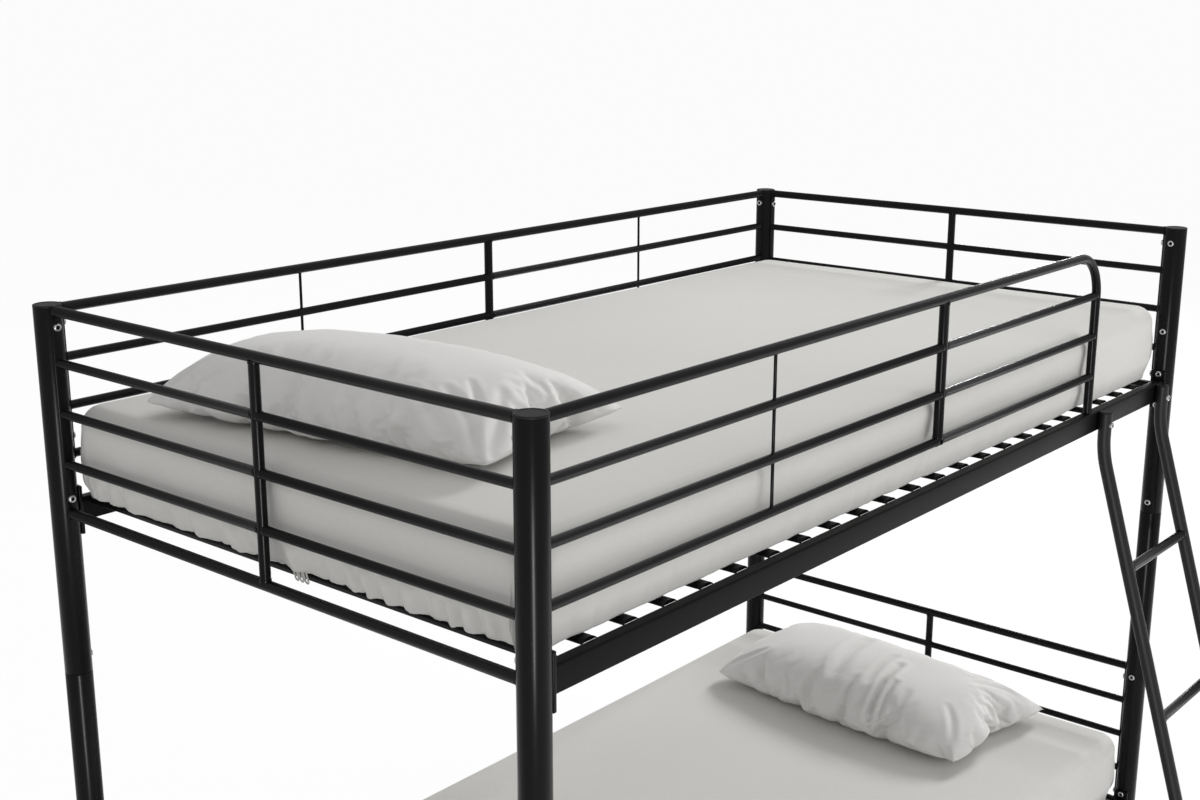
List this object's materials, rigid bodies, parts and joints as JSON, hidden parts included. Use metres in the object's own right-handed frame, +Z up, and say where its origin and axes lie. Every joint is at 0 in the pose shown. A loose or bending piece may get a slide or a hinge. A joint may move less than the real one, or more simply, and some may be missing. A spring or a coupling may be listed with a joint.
{
  "type": "bunk_bed",
  "caption": "Twin over twin bunk bed in black steel tube with slatted end panels, guard rails, a leaning ladder, sheeted mattresses and a pillow on each bunk.",
  "frame": {"origin": "on the floor, under the middle of the whole footprint with the ladder in it", "axes": "+X along the bed towards the ladder end, +Y across it from the ladder side to the back, +Z up"},
  "size_m": [1.9812, 1.402, 1.493],
  "materials": {
    "black_frame": "satin",
    "bolt_steel": "satin",
    "black_plastic": "satin",
    "sheet_fabric": "matte",
    "pillow_fabric": "matte"
  },
  "bodies": {
    "bed_frame": {"back_guard_centre_bar": "black_frame", "back_guard_rails": "black_frame", "back_guard_rods": "black_frame", "back_guard_top_rail": "black_frame", "back_lower_side_rail": "black_frame", "back_upper_side_rail": "black_frame", "front_guard_bent_tube": "black_frame", "front_guard_centre_bar": "black_frame", "front_guard_rails": "black_frame", "front_guard_rod": "black_frame", "front_lower_side_rail": "black_frame", "front_upper_side_rail": "black_frame", "guard_bolts": "bolt_steel", "guard_post_strips": "black_frame", "ladder_bolts": "bolt_steel", "ladder_caps": "black_plastic", "ladder_feet": "black_plastic", "ladder_left_stile": "black_frame", "ladder_right_stile": "black_frame", "ladder_rungs": "black_frame", "left_lower_panel_centre_bar": "black_frame", "left_lower_panel_edge_rails": "black_frame", "left_lower_panel_mid_rails": "black_frame", "left_lower_panel_post_strips": "black_frame", "left_upper_panel_centre_bar": "black_frame", "left_upper_panel_edge_rails": "black_frame", "left_upper_panel_mid_rails": "black_frame", "left_upper_panel_post_strips": "black_frame", "lower_end_bars": "black_frame", "lower_rail_end_plates": "black_frame", "lower_slats": "black_frame", "panel_bolts": "bolt_steel", "post_back_left_lower": "black_frame", "post_back_left_upper": "black_frame", "post_back_right_lower": "black_frame", "post_back_right_upper": "black_frame", "post_caps": "black_plastic", "post_connectors": "black_frame", "post_feet": "black_plastic", "post_front_left_lower": "black_frame", "post_front_left_upper": "black_frame", "post_front_right_lower": "black_frame", "post_front_right_upper": "black_frame", "post_joint_bolts": "bolt_steel", "right_lower_panel_centre_bar": "black_frame", "right_lower_panel_edge_rails": "black_frame", "right_lower_panel_mid_rails": "black_frame", "right_lower_panel_post_strips": "black_frame", "right_upper_panel_centre_bar": "black_frame", "right_upper_panel_edge_rails": "black_frame", "right_upper_panel_mid_rails": "black_frame", "right_upper_panel_post_strips": "black_frame", "side_rail_bolts": "bolt_steel", "upper_end_bars": "black_frame", "upper_rail_end_plates": "black_frame", "upper_slats": "black_frame"},
    "upper_mattress": {"upper_mattress": "sheet_fabric"},
    "upper_pillow": {"upper_pillow": "pillow_fabric"},
    "lower_mattress": {"lower_mattress": "sheet_fabric"},
    "lower_pillow": {"lower_pillow": "pillow_fabric"}
  },
  "joints": [
    {"name": "lift_upper_mattress", "type": "slide", "parent": "bed_frame", "child": "upper_mattress", "axis": [0, 0, 1], "range_m": [0, 0.4]},
    {"name": "lift_upper_pillow", "type": "slide", "parent": "upper_mattress", "child": "upper_pillow", "axis": [0, 0, 1], "range_m": [0, 0.3]},
    {"name": "lift_lower_mattress", "type": "slide", "parent": "bed_frame", "child": "lower_mattress", "axis": [0, 0, 1], "range_m": [0, 0.3]},
    {"name": "lift_lower_pillow", "type": "slide", "parent": "lower_mattress", "child": "lower_pillow", "axis": [0, 0, 1], "range_m": [0, 0.25]}
  ]
}
